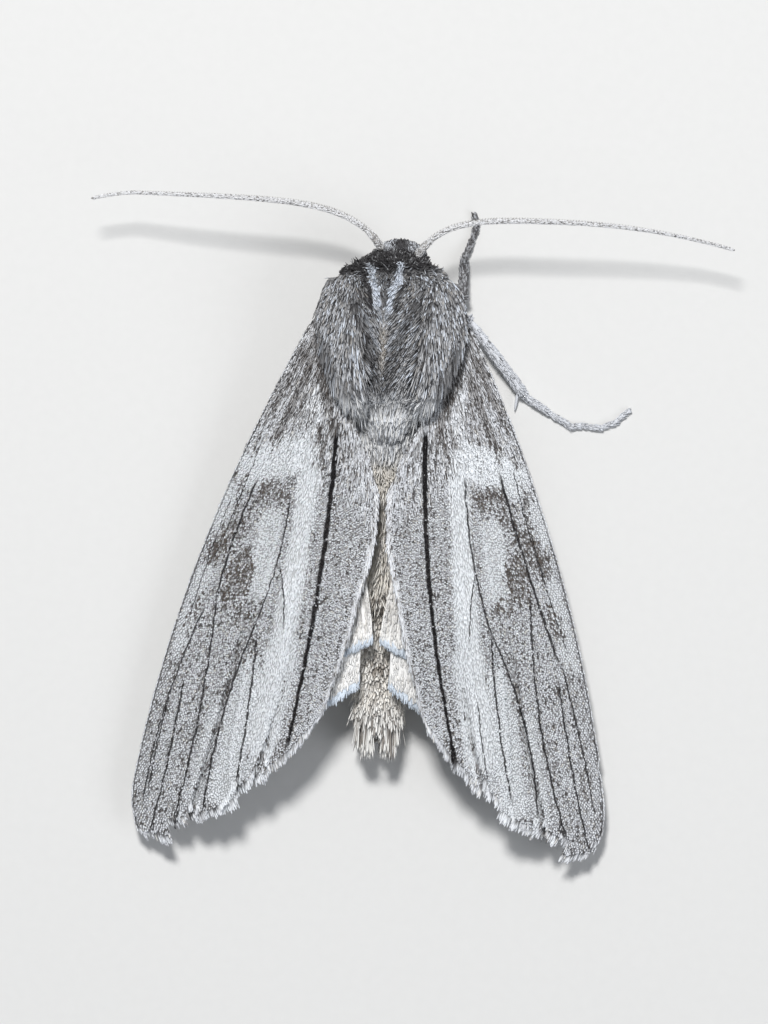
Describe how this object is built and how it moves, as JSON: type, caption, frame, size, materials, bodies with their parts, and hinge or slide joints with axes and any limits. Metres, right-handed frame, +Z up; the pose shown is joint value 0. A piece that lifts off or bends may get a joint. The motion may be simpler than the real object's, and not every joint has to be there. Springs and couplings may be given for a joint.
{
  "type": "resting capusa cuculloides moth",
  "caption": "Still life-size model of a resting moth with roofed wings, furred body, feelers spread to the sides and legs on the floor.",
  "frame": {"origin": "centre of the bounding box seen from above, on the floor plane under the feet", "axes": "+Z up from the floor, -Y along the body towards the head, +X towards the moth's left side"},
  "size_m": [0.028, 0.0286, 0.0056],
  "materials": {
    "grey_coat": "long soft fur in locks",
    "head_coat": "short dark fur",
    "wing_scales": "matt powdery scales",
    "hindwing_scales": "matt white scales",
    "abdomen_coat": "short pale fur",
    "leg_scales": "matt scaled cuticle",
    "antenna_scales": "silvery scales",
    "eye_surface": "glossy dark faceted eye"
  },
  "bodies": {
    "root": {"thorax": "grey_coat", "abdomen": "abdomen_coat", "head": "head_coat", "palp_left": "head_coat", "palp_right": "head_coat", "eye_left": "eye_surface", "eye_right": "eye_surface", "antenna_left": "antenna_scales", "antenna_right": "antenna_scales", "forewing_left": "wing_scales", "forewing_right": "wing_scales", "hindwing_left": "hindwing_scales", "hindwing_right": "hindwing_scales", "leg_front_left": "leg_scales", "leg_front_right": "leg_scales", "leg_middle_left": "leg_scales", "leg_middle_right": "leg_scales", "leg_hind_left": "leg_scales", "leg_hind_right": "leg_scales"}
  },
  "joints": []
}
